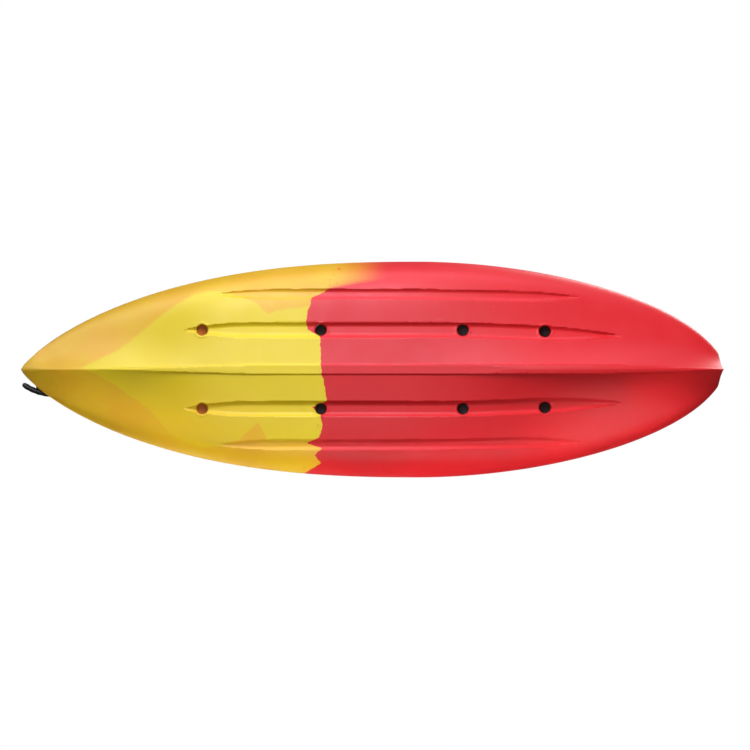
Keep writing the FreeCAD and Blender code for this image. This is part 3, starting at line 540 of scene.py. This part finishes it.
class Shader:
    """A material's node tree with short calls for the nodes that are used here."""

    def __init__(self, name):
        self.material = bpy.data.materials.new(name)
        self.material.use_nodes = True
        self.tree = self.material.node_tree
        self.surface = self.tree.nodes["Principled BSDF"]
        self.place = self.tree.nodes.new("ShaderNodeTexCoord").outputs["Object"]
        self.split = self.tree.nodes.new("ShaderNodeSeparateXYZ")
        self.tree.links.new(self.place, self.split.inputs[0])
        self.x, self.y, self.z = self.split.outputs

    def feed(self, socket, value):
        if isinstance(value, bpy.types.NodeSocket):
            self.tree.links.new(value, socket)
        else:
            socket.default_value = value

    def math(self, operation, *values):
        node = self.tree.nodes.new("ShaderNodeMath")
        node.operation = operation
        for socket, value in zip(node.inputs, values):
            self.feed(socket, value)
        return node.outputs[0]

    def ramp(self, value, low, high, out_low=0.0, out_high=1.0):
        node = self.tree.nodes.new("ShaderNodeMapRange")
        node.interpolation_type = "SMOOTHSTEP"
        for key, item in (("Value", value), ("From Min", low), ("From Max", high),
                          ("To Min", out_low), ("To Max", out_high)):
            self.feed(node.inputs[key], item)
        return node.outputs["Result"]

    def noise(self, scale, detail=3.0, roughness=0.5, stretch=(1, 1, 1), distortion=0.0):
        mapping = self.tree.nodes.new("ShaderNodeMapping")
        mapping.inputs["Scale"].default_value = stretch
        self.tree.links.new(self.place, mapping.inputs["Vector"])
        node = self.tree.nodes.new("ShaderNodeTexNoise")
        node.inputs["Scale"].default_value = scale
        node.inputs["Detail"].default_value = detail
        node.inputs["Roughness"].default_value = roughness
        node.inputs["Distortion"].default_value = distortion
        self.tree.links.new(mapping.outputs[0], node.inputs["Vector"])
        return node.outputs["Fac"]

    def mix(self, share, first, second, blend="MIX"):
        node = self.tree.nodes.new("ShaderNodeMix")
        node.data_type = "RGBA"
        node.blend_type = blend
        self.feed(node.inputs["Factor"], share)
        for socket, item in (("A", first), ("B", second)):
            for candidate in node.inputs:
                if candidate.name == socket and candidate.type == "RGBA":
                    self.feed(candidate, item)
        return [out for out in node.outputs if out.type == "RGBA"][0]

    def curve(self, value, low, high, points):
        """Piecewise smooth function of value through (input, output) points, both in metres."""
        outputs = [out for _, out in points]
        base, top = min(outputs), max(outputs)
        share = self.math("DIVIDE", self.math("SUBTRACT", value, low), high - low)
        node = self.tree.nodes.new("ShaderNodeFloatCurve")
        line = node.mapping.curves[0]
        scaled = [((at - low) / (high - low), (out - base) / (top - base)) for at, out in sorted(points)]
        line.points[0].location = scaled[0]
        line.points[1].location = scaled[-1]
        for place in scaled[1:-1]:
            line.points.new(*place)
        for point in line.points:
            point.handle_type = "VECTOR"
        node.mapping.use_clip = True
        node.mapping.update()
        self.feed(node.inputs["Value"], share)
        return self.math("ADD", self.math("MULTIPLY", node.outputs[0], top - base), base)

    def bump(self, height, strength, distance):
        node = self.tree.nodes.new("ShaderNodeBump")
        node.inputs["Strength"].default_value = strength
        node.inputs["Distance"].default_value = distance
        self.feed(node.inputs["Height"], height)
        chained = self.surface.inputs["Normal"]
        if chained.is_linked:
            self.tree.links.new(chained.links[0].from_socket, node.inputs["Normal"])
        self.tree.links.new(node.outputs[0], chained)

    def set(self, **values):
        names = {"color": "Base Color", "roughness": "Roughness", "metallic": "Metallic",
                 "specular": "Specular IOR Level", "sheen": "Sheen Weight"}
        for key, value in values.items():
            self.feed(self.surface.inputs[names[key]], value)
        return self.material


YELLOW = (0.80, 0.61, 0.010, 1)
ORANGE = (0.80, 0.42, 0.012, 1)
RED = (0.70, 0.013, 0.018, 1)
# painted shade colour for the sunk ends of the blind sockets
SOCKET_SHADE_BROWN = (0.42, 0.12, 0.004, 1)

# where the red begins, as (y, x), and the two edges of the clear yellow, as (x, y)
RED_EDGE = ((-0.415, 0.254), (-0.393, 0.250), (-0.354, 0.188), (-0.323, 0.212), (-0.297, 0.181),
            (-0.277, 0.236), (-0.255, 0.190), (-0.200, 0.181), (-0.169, 0.185), (-0.142, 0.218),
            (-0.118, 0.158), (-0.046, 0.173), (0.004, 0.183), (0.069, 0.185), (0.127, 0.192),
            (0.150, 0.235), (0.196, 0.241), (0.268, 0.222), (0.293, 0.172), (0.415, 0.160))
YELLOW_PORT_EDGE = ((0.100, 0.230), (0.239, 0.232), (0.290, 0.222), (0.350, 0.216), (0.385, 0.205),
                    (0.430, 0.248), (0.480, 0.266), (0.535, 0.285), (0.600, 0.292), (0.660, 0.281),
                    (0.730, 0.244), (0.820, 0.178), (0.905, 0.107), (0.975, 0.060), (1.060, 0.020))
YELLOW_STARBOARD_EDGE = ((0.100, -0.262), (0.385, -0.262), (0.420, -0.193), (0.492, -0.262),
                         (0.560, -0.281), (0.640, -0.285), (0.705, -0.264), (0.760, -0.232),
                         (0.800, -0.186), (0.850, -0.135), (0.915, -0.090), (0.985, -0.045),
                         (1.060, -0.008))


def hull_material():
    """Two colours of polyethylene that ran into each other in the mould, with painted shade: dark brown at
    the ends of the blind sockets and an orange tint along the starboard side.
    """
    shade = Shader("moulded_polyethylene_hull")
    ripple = shade.noise(34, 4, 0.6)
    wander = shade.noise(9, 3, 0.5)
    shift = shade.math("ADD", shade.math("MULTIPLY", shade.math("SUBTRACT", ripple, 0.5), 0.022),
                       shade.math("MULTIPLY", shade.math("SUBTRACT", wander, 0.5), 0.020))
    edge = shade.curve(shade.y, -0.415, 0.415, RED_EDGE)
    beyond = shade.math("SUBTRACT", shade.math("ADD", edge, shift), shade.x)
    width = shade.ramp(shade.y, 0.292, 0.345, 0.0025, 0.24)
    red = shade.ramp(beyond, 0.0, width)

    port_edge = shade.curve(shade.x, 0.1, 1.06, YELLOW_PORT_EDGE)
    starboard_edge = shade.curve(shade.x, 0.1, 1.06, YELLOW_STARBOARD_EDGE)
    over = shade.math("SUBTRACT", shade.math("ADD", shade.y, shade.math("MULTIPLY", shift, 0.6)), port_edge)
    below = shade.math("SUBTRACT", starboard_edge, shade.math("ADD", shade.y, shift))
    orange = shade.math("MAXIMUM", shade.ramp(over, -0.004, 0.012), shade.ramp(below, -0.004, 0.012))
    veil = shade.noise(5.0, 4, 0.6, (1, 1.6, 1.6))
    orange = shade.math("MULTIPLY", orange, shade.ramp(veil, 0.25, 0.75, 0.62, 1.0))
    # painted shade tint: the starboard side, turned away from the port lights, is mixed up to half-way to
    # orange, growing towards the bow
    outboard = shade.ramp(shade.y, 0.02, -0.25)
    starboard_shade_tint = shade.math("MULTIPLY", shade.math("MULTIPLY", outboard, shade.ramp(shade.x, 0.15, 0.85)), 0.5)
    base = shade.mix(shade.math("MAXIMUM", orange, starboard_shade_tint), YELLOW, ORANGE)

    # feathery flecks of red in the yellow close to where the colours meet
    fleck = shade.noise(60, 5, 0.7, (1, 0.45, 1), 1.2)
    near = shade.math("MULTIPLY", shade.ramp(beyond, -0.075, -0.004), shade.ramp(fleck, 0.585, 0.635))
    patches = shade.ramp(shade.noise(11, 2, 0.5), 0.50, 0.60)
    near = shade.math("MULTIPLY", near, patches)
    red = shade.math("MAXIMUM", red, shade.math("MULTIPLY", near, 0.75))
    base = shade.mix(red, base, RED)

    # painted shade: the sunk ends of the blind sockets are coloured dark brown for the shade that falls in
    # them
    socket_x, socket_y, _ = BLIND_SOCKET
    off_x = shade.math("SUBTRACT", shade.x, socket_x)
    off_y = shade.math("SUBTRACT", shade.math("ABSOLUTE", shade.y), socket_y)
    reach = shade.math("SQRT", shade.math("ADD", shade.math("MULTIPLY", off_x, off_x),
                                          shade.math("MULTIPLY", off_y, off_y)))
    sunk = shade.math("MULTIPLY", shade.ramp(shade.z, 0.018, 0.042), shade.ramp(shade.z, 0.110, 0.090))
    inside = shade.math("MULTIPLY", sunk, shade.ramp(reach, 0.0235, 0.0190))
    base = shade.mix(inside, base, SOCKET_SHADE_BROWN)

    cloud = shade.noise(2.3, 3, 0.5)
    base = shade.mix(shade.ramp(cloud, 0.35, 0.75, 0.0, 0.5), base, (0.90, 0.86, 0.80, 1), "MULTIPLY")
    scratch = shade.noise(26, 6, 0.75, (0.12, 5.0, 5.0))
    worn_places = shade.noise(3.1, 2, 0.5)
    scuffed = shade.math("MULTIPLY", shade.ramp(scratch, 0.64, 0.72), shade.ramp(worn_places, 0.5, 0.7))
    base = shade.mix(shade.math("MULTIPLY", scuffed, 0.10), base, (0.9, 0.70, 0.60, 1))

    haze = shade.noise(14, 4, 0.6)
    rough = shade.ramp(haze, 0.3, 0.75, 0.44, 0.54)
    rough = shade.math("ADD", rough, shade.math("MULTIPLY", scuffed, 0.15))
    rough = shade.math("ADD", rough, shade.math("MULTIPLY", inside, 0.40))
    shade.bump(shade.noise(210, 3, 0.55), 0.25, 0.0005)
    shade.bump(shade.noise(14, 2, 0.5), 0.30, 0.0016)
    return shade.set(color=base, roughness=rough, specular=0.5)


def build_hull():
    points, quads, normals = moulded_hull()
    x, y, z = points[quads].mean(1).T
    inner = np.abs(y) < half_beam(station(x)) - 0.03
    by_the_bottom = z < bottom_height(x, np.abs(y)) + 0.012
    underside = (z < sheer_height(station(x)) + 0.006) & (by_the_bottom | ~inner)
    material = hull_material()
    for name, chosen in (("hull_underside", underside), ("hull_deck", ~underside)):
        faces = quads[chosen]
        used, compact = np.unique(faces, return_inverse=True)
        obj = mesh_object(name, points[used], compact.reshape(faces.shape), normals[used])
        obj.data.materials.append(material)
        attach(obj, "hull_body")
        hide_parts("hull")


# ---- fittings ----

# where the swinging fittings hang: axis point, and how they lie at rest
SADDLE_BAR_Z = 0.0115
BOW_TOGGLE = {"at": (1.288, 0.0, 0.366 + SADDLE_BAR_Z),
              "yaw": 17.0, "drop": 7.0, "reach": 0.088, "half": 17.0}
STERN_TOGGLE = {"at": (-1.262, 0.0, 0.341 + SADDLE_BAR_Z),
                "yaw": 0.0, "drop": 4.0, "reach": 0.088, "half": 17.0}
TOGGLE_RADIUS = 0.011
TOGGLE_BEND = 0.210                # radius that the bar is curved to
WAVE_PITCH, WAVE_DEPTH = 0.026, 0.0010
PARTING_LINE = (0.0003, 0.0007)    # height, width
TOGGLE_END_TAPER = 0.0008
HANDLE_AT = (-0.100, 0.365, 0.281 + SADDLE_BAR_Z)
HANDLE_RISE = 8.0
HANDLE_REACH = 0.044
GRIP_RADIUS = 0.013
GRIP_HALF = 0.060
GRIP_SLOT_HALF = (0.0083, 0.0013)
GRIP_RIB_PITCH, GRIP_RIB_DEPTH = 0.0075, 0.0013


def turned(x, y, angle):
    """Plan coordinates seen from a frame that is turned by angle degrees."""
    c, s = math.cos(math.radians(angle)), math.sin(math.radians(angle))
    return c * x + s * y, -s * x + c * y


def sculpt(name, field, low, high, step, material, body, slot_name, *nodes):
    """Smooth mesh of a field's zero level inside a box."""
    step *= 1.0
    axes = [grid_axis(low[k] - 2.1 * step, high[k] + 2.1 * step, step) for k in range(3)]
    grid = field(axes[0][:, None, None], axes[1][None, :, None], axes[2][None, None, :])
    points, quads = surface_net(grid, axes)

    def slope_at(places):
        reach = 0.1 * step
        columns = []
        for shift in np.eye(3) * reach:
            columns.append((field(*(places + shift).T) - field(*(places - shift).T)) / (2 * reach))
        return np.stack(columns, 1)

    for _ in range(2):
        slope = slope_at(points)
        move = -(field(*points.T) / np.maximum((slope ** 2).sum(1), 0.2))[:, None] * slope
        points += np.clip(move, -0.5 * step, 0.5 * step)
    normals = slope_at(points)
    normals /= np.maximum(np.linalg.norm(normals, axis=1), 1e-9)[:, None]
    obj = mesh_object(name, points, quads, normals)
    obj.data.materials.append(material)
    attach(obj, body)
    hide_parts(*nodes)
    return obj


def toggle_field(spec):
    """Curved moulded bar with finger waves, a parting line and slightly tapered ends."""
    def field(x, y, z):
        ax, ay, az = spec["at"]
        v, w = turned(y - ay, z - az, spec["drop"])
        u, v = turned(x - ax, v + spec["reach"], spec["yaw"])
        half = math.radians(spec["half"])
        angle = np.clip(np.arctan2(u, TOGGLE_BEND - v), -half, half)
        du = u - TOGGLE_BEND * np.sin(angle)
        dv = v - TOGGLE_BEND * (1 - np.cos(angle))
        across = np.sqrt(du * du + dv * dv + w * w)
        along = angle / half
        wave = (1 - np.cos(angle * TOGGLE_BEND * 2 * math.pi / WAVE_PITCH)) / 2
        parting = PARTING_LINE[0] * np.exp(-(w / PARTING_LINE[1]) ** 2)
        taper = TOGGLE_END_TAPER * smooth(np.abs(along) * 5 - 4)
        radius = TOGGLE_RADIUS - WAVE_DEPTH * wave + parting - taper
        return across - radius
    return field


def grip_field(side):
    """Ribbed grip with rounded ends and the slot that the webbing runs through."""
    def field(x, y, z):
        u = x - HANDLE_AT[0]
        v, w = turned(side * y - HANDLE_AT[1], z - HANDLE_AT[2], -HANDLE_RISE)
        v = v + HANDLE_REACH
        rib = GRIP_RIB_DEPTH * smooth(2.2 * np.cos(u * 2 * math.pi / GRIP_RIB_PITCH) - 0.2)
        middle = smooth((0.050 - np.abs(u)) / 0.004)
        tube = np.hypot(v, w) - (GRIP_RADIUS - rib * middle)
        body = cut_round(tube, np.abs(u) - GRIP_HALF, 0.005)
        slot_box = np.maximum(np.abs(v) - GRIP_SLOT_HALF[0], np.abs(w) - GRIP_SLOT_HALF[1]) + 0 * u
        return cut_round(body, -slot_box, 0.0008)
    return field


LID_OVERHANG = 0.007               # rim beyond the opening
LID_HEIGHT = 0.017                 # underside of the disc above the bottom of the skirt
LID_THICKNESS = 0.005
KNURLS, KNURL_DEPTH = 48, 0.0012
RIBS, RIB_HEIGHT = 16, 0.0012
RING_RADIUS, RING_HEIGHT, RING_WIDTH = 0.86, 0.0014, 0.0022    # radius as a share of the opening
DISH_RADIUS, DISH_DEPTH = 0.80, 0.0016
BAR_REACH = 0.62                   # share of the opening
BAR_HALF_WIDTH, BAR_WAIST = 0.009, 0.0022
BAR_MIDDLE, BAR_HALF_HEIGHT, BAR_ROUNDING = 0.010, 0.007, 0.0045


def lid_field(node):
    """Twist-off lid: knurled rim, raised ring, radial ribs, dished top and a waisted bar to turn it by."""
    low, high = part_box(node)
    cx = (low.x + high.x) / 2
    reach = (high.x - low.x) / 2
    opening = reach - LID_OVERHANG
    under = low.z + LID_HEIGHT
    bar_reach = opening * BAR_REACH

    def field(x, y, z):
        u = x - cx
        radius = np.hypot(u, y)
        angle = np.arctan2(y, u)
        rim = radius - (reach - KNURL_DEPTH * (1 + np.cos(angle * KNURLS)) / 2)
        ribs = RIB_HEIGHT * smooth(3 * np.cos(angle * RIBS) - 1.6)
        ribs = ribs * smooth((radius / opening - 0.30) * 12) * smooth((0.78 - radius / opening) * 12)
        ring = RING_HEIGHT * np.exp(-((radius - RING_RADIUS * opening) / RING_WIDTH) ** 2)
        dish = DISH_DEPTH * smooth((DISH_RADIUS - radius / opening) * 8)
        top = z - (under + LID_THICKNESS - dish + ribs + ring)
        disc = cut_round(cut_round(rim, top, 0.0022), under - z, 0.0006)
        waist = BAR_HALF_WIDTH - BAR_WAIST * np.cos(u / bar_reach * math.pi / 2) ** 2
        bar = rounded_box(np.abs(u) - bar_reach, np.abs(y) - waist,
                          np.abs(z - under - BAR_MIDDLE) - BAR_HALF_HEIGHT, BAR_ROUNDING)
        body = join_round(disc, bar, 0.003)
        wall = np.maximum(radius - opening + 0.0004, opening - 0.005 - radius)
        skirt = cut_round(wall, np.abs(z - under + 0.008) - 0.009, 0.0008)
        return np.minimum(body, skirt)
    return field


def moulded_black(name, color, grain, depth, rough, rounding=0.0007):
    """Black moulded plastic or rubber: fine texture, faint wear and slightly rounded edges."""
    shade = Shader(name)
    if rounding:
        bevel = shade.tree.nodes.new("ShaderNodeBevel")
        bevel.samples = 4
        bevel.inputs["Radius"].default_value = rounding
        shade.tree.links.new(bevel.outputs[0], shade.surface.inputs["Normal"])
    texture = shade.noise(grain, 3, 0.6)
    shade.bump(texture, 0.5, depth)
    dust = shade.ramp(shade.noise(55, 5, 0.65), 0.52, 0.74, 0.0, 0.16)
    base = shade.mix(dust, color + (1,), (0.16, 0.155, 0.15, 1))
    roughness = shade.ramp(shade.noise(38, 4, 0.6), 0.3, 0.7, rough - 0.07, rough + 0.07)
    return shade.set(color=base, roughness=roughness, specular=0.5)


def webbing():
    """Woven polyester webbing: fine cross ribs and lengthwise ends, with a slight sheen."""
    shade = Shader("black_woven_webbing")
    pitch = 2 * math.pi / 0.0022
    warp = shade.math("SINE", shade.math("MULTIPLY", shade.x, pitch))
    weft = shade.math("SINE", shade.math("MULTIPLY", shade.y, pitch * 0.8))
    weave = shade.math("MULTIPLY", warp, weft)
    shade.bump(weave, 0.8, 0.0005)
    shade.bump(shade.noise(1900, 2, 0.6), 0.4, 0.0002)
    lift = shade.ramp(weave, -0.4, 0.9, 0.0, 0.55)
    base = shade.mix(lift, (0.010, 0.010, 0.011, 1), (0.045, 0.045, 0.048, 1))
    return shade.set(color=base, roughness=0.72, specular=0.35, sheen=0.15)


def steel():
    """Turned stainless screw heads."""
    shade = Shader("stainless_steel")
    shade.bump(shade.noise(900, 2, 0.5, (1, 1, 0.2)), 0.25, 0.0001)
    rough = shade.ramp(shade.noise(300, 3, 0.6), 0.3, 0.7, 0.22, 0.38)
    return shade.set(color=(0.60, 0.59, 0.57, 1), metallic=1.0, roughness=rough)


def fittings():
    nylon = moulded_black("moulded_black_nylon", (0.020, 0.020, 0.022), 900, 0.00025, 0.46)
    pebble = moulded_black("pebbled_black_plastic", (0.022, 0.022, 0.024), 620, 0.0005, 0.50, 0)
    grip = moulded_black("ribbed_grip_plastic", (0.018, 0.018, 0.018), 1100, 0.0002, 0.42, 0)
    toggle = moulded_black("toggle_rubber", (0.016, 0.017, 0.020), 1400, 0.0001, 0.36, 0)
    rubber = moulded_black("matte_black_rubber", (0.020, 0.020, 0.020), 1200, 0.0002, 0.66)
    weave, metal = webbing(), steel()
    by_slot = {"moulded_black_nylon": nylon, "black_rubber": rubber, "black_webbing": weave,
               "stainless_steel": metal}
    for item in frame["record"]["subparts"]:
        if item["material_slot"] in by_slot:
            data = frame["nodes"][item["node"]].data
            data.materials.clear()
            data.materials.append(by_slot[item["material_slot"]])
    for name, spec in (("bow", BOW_TOGGLE), ("stern", STERN_TOGGLE)):
        node = name + "_toggle"
        sculpt(node + "_bar", toggle_field(spec), *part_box(node), 0.0013, toggle, node + "_body",
               "toggle_rubber", node)
    for name, side in (("port", PORT), ("starboard", STARBOARD)):
        node = name + "_handle_grip"
        sculpt(node + "_ribbed", grip_field(side), *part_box(node), 0.0010, grip, name + "_handle_body",
               "grip_plastic", node)
    for name in ("bow_hatch", "console_hatch"):
        node = name + "_lid"
        sculpt(node + "_moulded", lid_field(node), *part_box(node), 0.0013, pebble, node + "_body",
               "hatch_lid_plastic", node)


# ---- floor, light and camera ----

AMBIENT = 0.15
AMBIENT_MIRRORED = 0.03       # its strength in glossy reflections
BILGE_STRIPS = ((1.0, 0.14), (0.5, 0.22), (0.0, 0.27), (-0.5, 0.27), (-1.0, 0.32))   # x, watts
BILGE_SPAN = 0.1              # half the length of hull side that a strip stands parallel to
BILGE_AIM_HEIGHT = 0.15       # height on the hull side that it points at
BILGE_INBOARD = 0.05          # how far inside the side it points
BILGE_OUTBOARD = 0.55         # how far out from the side it stands
BILGE_BELOW = 0.60            # how far below that point it stands
BILGE_LENGTH, BILGE_WIDTH = 0.55, 0.10
BILGE_SPREAD = 30.0           # degrees

def stage_floor():
    """Pale floor at the keel; from below it is clear, so that the bottom can be seen."""
    reach = 30.0
    corners = [(-reach, -reach, 0), (reach, -reach, 0), (reach, reach, 0), (-reach, reach, 0)]
    obj = mesh_object("studio_floor", corners, [(0, 1, 2, 3)])
    shade = Shader("studio_floor_paint")
    tree = shade.tree
    shade.set(color=(0.80, 0.80, 0.80, 1), roughness=0.9, specular=0.1)
    clear = tree.nodes.new("ShaderNodeBsdfTransparent")
    blend = tree.nodes.new("ShaderNodeMixShader")
    side = tree.nodes.new("ShaderNodeNewGeometry")
    tree.links.new(side.outputs["Backfacing"], blend.inputs[0])
    tree.links.new(shade.surface.outputs[0], blend.inputs[1])
    tree.links.new(clear.outputs[0], blend.inputs[2])
    tree.links.new(blend.outputs[0], tree.nodes["Material Output"].inputs[0])
    obj.data.materials.append(shade.material)
    obj.visible_shadow = False
    obj.visible_diffuse = False
    obj.visible_glossy = False


def area_light(name, place, target, size, power, color=(1, 1, 1), mirrored=True, diffuse=True):
    data = bpy.data.lights.new(name, "AREA")
    data.shape = "DISK"
    data.size = size
    data.energy = power
    data.color = color
    obj = bpy.data.objects.new(name, data)
    obj.location = place
    direction = Vector(target) - Vector(place)
    obj.rotation_euler = direction.to_track_quat("-Z", "Y").to_euler()
    obj.visible_glossy = mirrored
    obj.visible_diffuse = diffuse
    SCENE.collection.objects.link(obj)
    return obj


def bilge_strips():
    """A row of narrow soft boxes along the starboard side that reach the outer part of the bottom."""
    for x, power in BILGE_STRIPS:
        ahead, behind = (half_beam(station(x + shift)) for shift in (BILGE_SPAN, -BILGE_SPAN))
        edge = Vector((x, -(ahead + behind) / 2, BILGE_AIM_HEIGHT))
        outward = Vector((behind - ahead, -2 * BILGE_SPAN, 0)).normalized()
        place = edge + BILGE_OUTBOARD * outward + Vector((0, 0, -BILGE_BELOW))
        target = edge - BILGE_INBOARD * outward
        obj = area_light("bilge_strip", place, target, BILGE_LENGTH, power, mirrored=False)
        obj.data.shape = "RECTANGLE"
        obj.data.size_y = BILGE_WIDTH
        obj.data.spread = math.radians(BILGE_SPREAD)
        obj.visible_camera = False


def lighting():
    world = bpy.data.worlds.new("studio")
    world.use_nodes = True
    SCENE.world = world
    tree = world.node_tree
    backdrop = tree.nodes["Background"]
    backdrop.inputs["Color"].default_value = (1, 1, 1, 1)
    backdrop.inputs["Strength"].default_value = 1.0
    ambient = tree.nodes.new("ShaderNodeBackground")
    ambient.inputs["Color"].default_value = (1.0, 0.985, 0.96, 1)
    seen = tree.nodes.new("ShaderNodeLightPath")
    strength = tree.nodes.new("ShaderNodeMapRange")
    strength.inputs["To Min"].default_value = AMBIENT
    strength.inputs["To Max"].default_value = AMBIENT_MIRRORED
    tree.links.new(seen.outputs["Is Glossy Ray"], strength.inputs["Value"])
    tree.links.new(strength.outputs[0], ambient.inputs["Strength"])
    blend = tree.nodes.new("ShaderNodeMixShader")
    tree.links.new(seen.outputs["Is Camera Ray"], blend.inputs[0])
    tree.links.new(ambient.outputs[0], blend.inputs[1])
    tree.links.new(backdrop.outputs[0], blend.inputs[2])
    tree.links.new(blend.outputs[0], tree.nodes["World Output"].inputs[0])
    centre = (0, 0, 0.2)
    area_light("key_below_port", (-0.8, 5.6, -5.2), centre, 3.6, 605, (0.99, 1.0, 1.04), mirrored=False)
    area_light("sheen_below_port", (1.0, 4.0, -6.4), centre, 5.5, 540, (0.84, 0.92, 1.10), diffuse=False)
    horizon = area_light("sheen_along_port", (3.0, 8.0, -1.2), centre, 22.0, 1150, (0.78, 0.92, 1.20),
                         diffuse=False)
    horizon.data.shape = "ELLIPSE"
    horizon.data.size_y = 5.0
    area_light("fill_below", (0.6, -0.5, -7.0), centre, 5.0, 110, mirrored=False)
    area_light("low_starboard", (0.5, -7.0, 1.4), centre, 3.5, 130, mirrored=False)
    area_light("key_above", (1.5, -3.5, 6.0), centre, 4.0, 520, mirrored=False)
    bilge_strips()
    area_light("fill_above", (-3.5, 3.0, 5.0), centre, 4.0, 260)


def camera():
    """Square on to the bottom: bow to the left, port side up, from ten metres below."""
    distance, plane = 10.0, 0.27
    view_width = 2.889
    aim = Vector((-0.019, -0.021, plane))
    data = bpy.data.cameras.new("camera")
    data.sensor_width = 36.0
    data.lens = data.sensor_width * distance / view_width
    data.clip_end = 200.0
    obj = bpy.data.objects.new("camera", data)
    turn = Matrix(((-1, 0, 0), (0, 1, 0), (0, 0, -1)))
    obj.matrix_world = Matrix.Translation(aim - Vector((0, 0, distance))) @ turn.to_4x4()
    SCENE.collection.objects.link(obj)
    SCENE.camera = obj


camera()
stage_floor()
lighting()
SCENE.view_settings.view_transform = "Standard"
build_hull()
fittings()
